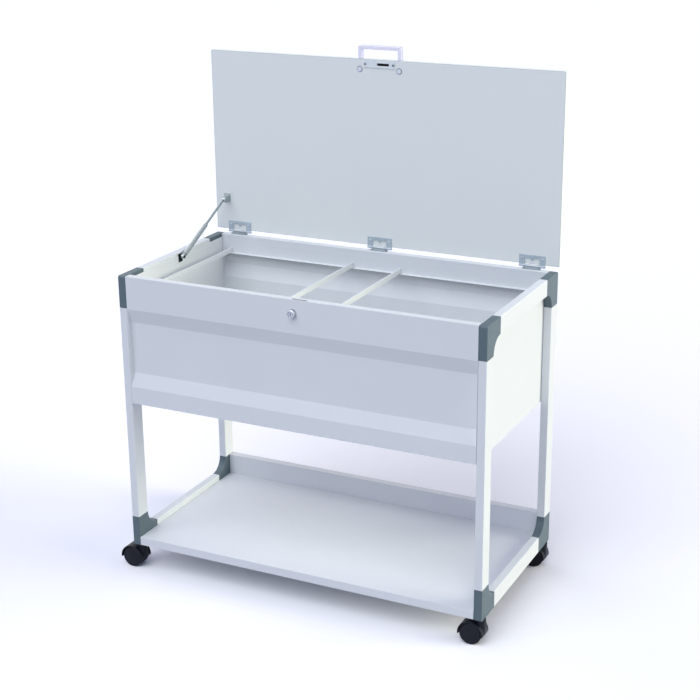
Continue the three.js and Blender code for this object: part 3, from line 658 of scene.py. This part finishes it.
def handle_fitting(side):
    node = f"handle_fitting_{side}"
    low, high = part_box(node)
    middle = (low + high) / 2
    radius = (high.x - low.x) / 2
    proud = lid_face - low.y
    centre = (middle.x, lid_face + FITTING_ROOT, middle.z)
    for title, shares, material, stands_for in (
        ("rim", RIM_PROFILE, RIM_PAINTED_SHADE, None),
        ("cap", CAP_PROFILE, FINISHES["plated_steel"], node),
    ):
        profile = []
        for across, rise in shares:
            reach = 0 if rise is AT_ROOT else FITTING_ROOT + rise * proud
            profile.append((across * radius, reach))
        shape = lathe(profile, centre, FORWARD, FITTING_SEGMENTS)
        add_piece(f"handle_{title}_{side}", shape, material, "lid", stands_for)


for side in ("left", "right"):
    handle_fitting(side)


# Lock barrel: a turned nose around the plug and a narrower body that goes through the panel
LOCK_NOSE = 0.0026
LOCK_NOSE_STEPS = 6
LOCK_BODY_SHARE = 0.88
LOCK_PANEL_GAP = 0.0004
LOCK_PLUG_GAP = 0.0003


def lock_barrel():
    low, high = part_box("lock_barrel")
    plug_low, plug_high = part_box("lock_plug")
    middle = (low + high) / 2
    radius = (high.x - low.x) / 2
    bore = (plug_high.x - plug_low.x) / 2 + LOCK_PLUG_GAP
    length = high.y - low.y
    shoulder = high.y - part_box("tub_front_panel")[0].y + LOCK_PANEL_GAP
    body = LOCK_BODY_SHARE * radius
    profile = [(bore, 0), (body, 0), (body, shoulder), (radius, shoulder)]
    profile += quarter_arc(radius - LOCK_NOSE, length - LOCK_NOSE, LOCK_NOSE, LOCK_NOSE_STEPS)
    profile += [(bore, length - LOCK_PLUG_GAP), (bore, 0)]
    shape = lathe(profile, (middle.x, high.y, middle.z), FORWARD, FITTING_SEGMENTS)
    add_piece("lock_nose", shape, FINISHES["chrome"], "cart_frame", "lock_barrel")


lock_barrel()


# Caster wheels: a soft-edged tread band and a domed disc with a shallow ring between them
WHEEL_SEGMENTS = 64
WHEEL_BORE = 0.0033
WHEEL_BORE_DEPTH = 0.0113
TREAD_SOFT = 0.003
TREAD_STEPS = 4
RING_RADIUS = 0.0195
RING_WIDTH = 0.0007
RING_DEPTH = 0.0005
DOME_RISE = 0.0015
DOME_STEPS = 5


def wheel(node):
    low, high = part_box(node)
    middle = (low + high) / 2
    radius = (high.z - low.z) / 2
    outward = -1 if node.endswith("_front") else 1
    inner_y = high.y if outward < 0 else low.y
    edge = high.y - low.y - DOME_RISE
    arc_radius = radius - TREAD_SOFT
    profile = [(0, WHEEL_BORE_DEPTH), (WHEEL_BORE, WHEEL_BORE_DEPTH), (WHEEL_BORE, 0)]
    profile += quarter_arc(arc_radius, TREAD_SOFT, TREAD_SOFT, TREAD_STEPS, start=-QUARTER_TURN)
    profile += quarter_arc(arc_radius, edge - TREAD_SOFT, TREAD_SOFT, TREAD_STEPS)
    profile += [(RING_RADIUS + RING_WIDTH, edge), (RING_RADIUS, edge - RING_DEPTH)]
    for step in range(1, DOME_STEPS + 1):
        remaining = 1 - step / DOME_STEPS
        rise = DOME_RISE * (1 - remaining ** 2)
        profile.append(((RING_RADIUS - RING_WIDTH) * remaining, edge + rise))
    shape = lathe(profile, (middle.x, inner_y, middle.z), (0, outward, 0), WHEEL_SEGMENTS)
    name = node.replace("caster_wheel", "wheel")
    add_piece(name, shape, FINISHES["wheel_plastic"], node, node)


for node in sorted(frame["nodes"]):
    if node.startswith("caster_wheel"):
        wheel(node)


# Stage

def seen_rays(tree):
    """One for rays that the camera sees straight, mirrored or through glass, and zero for the rest."""
    path = add_node(tree, "ShaderNodeLightPath")
    total = path.outputs["Is Camera Ray"]
    for name in ("Is Glossy Ray", "Is Transmission Ray"):
        either = add_node(tree, "ShaderNodeMath")
        either.operation = "MAXIMUM"
        link_nodes(tree, (total, either.inputs[0]), (path.outputs[name], either.inputs[1]))
        total = either.outputs["Value"]
    return total


def split_by_ray(tree, others, seen, output_kind):
    """Shows one shader to the seen rays and another to the rest."""
    mix = add_node(tree, "ShaderNodeMixShader")
    output = add_node(tree, output_kind)
    link_nodes(
        tree,
        (seen_rays(tree), mix.inputs["Fac"]),
        (others, mix.inputs[1]),
        (seen, mix.inputs[2]),
        (mix.outputs["Shader"], output.inputs["Surface"]),
    )


def floor():
    bpy.ops.mesh.primitive_plane_add(size=FLOOR_SIZE, location=(0, 0, 0))
    plane = bpy.context.object
    plane.name = "floor"
    material = bpy.data.materials.new("floor")
    material.use_nodes = True
    tree = material.node_tree
    tree.nodes.clear()
    seen = add_node(tree, "ShaderNodeBsdfDiffuse", Color=opaque(FLOOR_COLOUR))
    bounced = add_node(tree, "ShaderNodeBsdfDiffuse", Color=opaque(FLOOR_BOUNCE))
    glow = add_node(tree, "ShaderNodeEmission", Strength=FLOOR_LIFT, Color=opaque(FLOOR_LIFT_COLOUR))
    lifted = add_node(tree, "ShaderNodeAddShader")
    link_nodes(
        tree,
        (seen.outputs["BSDF"], lifted.inputs[0]),
        (glow.outputs["Emission"], lifted.inputs[1]),
    )
    split_by_ray(tree, bounced.outputs["BSDF"], lifted.outputs["Shader"], "ShaderNodeOutputMaterial")
    plane.data.materials.append(material)


def world():
    sky = bpy.data.worlds.new("studio")
    sky.use_nodes = True
    tree = sky.node_tree
    tree.nodes.clear()
    ambient = add_node(tree, "ShaderNodeBackground", Color=opaque(WORLD_AMBIENT))
    white = add_node(tree, "ShaderNodeBackground", Color=opaque(WORLD_SEEN))
    split_by_ray(tree, ambient.outputs["Background"], white.outputs["Background"], "ShaderNodeOutputWorld")
    bpy.context.scene.world = sky


def direction(azimuth, elevation):
    """Unit vector towards a place that is given by its two angles."""
    turn = math.radians(azimuth)
    rise = math.radians(elevation)
    return Vector((math.cos(turn) * math.cos(rise), math.sin(turn) * math.cos(rise), math.sin(rise)))


def sun(name, lamp):
    """A soft distant lamp."""
    data = bpy.data.lights.new(name, "SUN")
    data.energy = lamp.strength
    data.angle = math.radians(lamp.softness)
    data.color = lamp.colour
    light = bpy.data.objects.new(name, data)
    light.rotation_euler = direction(lamp.azimuth, lamp.elevation).to_track_quat("Z", "Y").to_euler()
    bpy.context.scene.collection.objects.link(light)


# The camera's azimuth counts from the front, and the lamps' from the right
FRONT_AZIMUTH = -90


def camera():
    back = direction(FRONT_AZIMUTH + CAMERA_AZIMUTH, CAMERA_ELEVATION)
    roll = math.radians(CAMERA_ROLL)
    level = (-back).cross(UP).normalized()
    upright = level.cross(-back)
    right = level * math.cos(roll) + upright * math.sin(roll)
    up = upright * math.cos(roll) - level * math.sin(roll)
    data = bpy.data.cameras.new("camera")
    data.sensor_width = SENSOR
    data.lens = FOCAL_PIXELS * SENSOR / PHOTO_WIDTH
    data.shift_x = (PHOTO_WIDTH / 2 - PRINCIPAL_X) / PHOTO_WIDTH
    data.shift_y = (PRINCIPAL_Y - PHOTO_WIDTH / 2) / PHOTO_WIDTH
    data.clip_end = 2 * FLOOR_SIZE
    viewer = bpy.data.objects.new("camera", data)
    turned = Matrix((right, up, back)).transposed().to_4x4()
    viewer.matrix_world = Matrix.Translation(CAMERA_PLACE) @ turned
    bpy.context.scene.collection.objects.link(viewer)
    bpy.context.scene.camera = viewer


floor()
world()
for name, lamp in LAMPS.items():
    sun(name, lamp)
camera()
bpy.context.scene.view_settings.view_transform = "Standard"
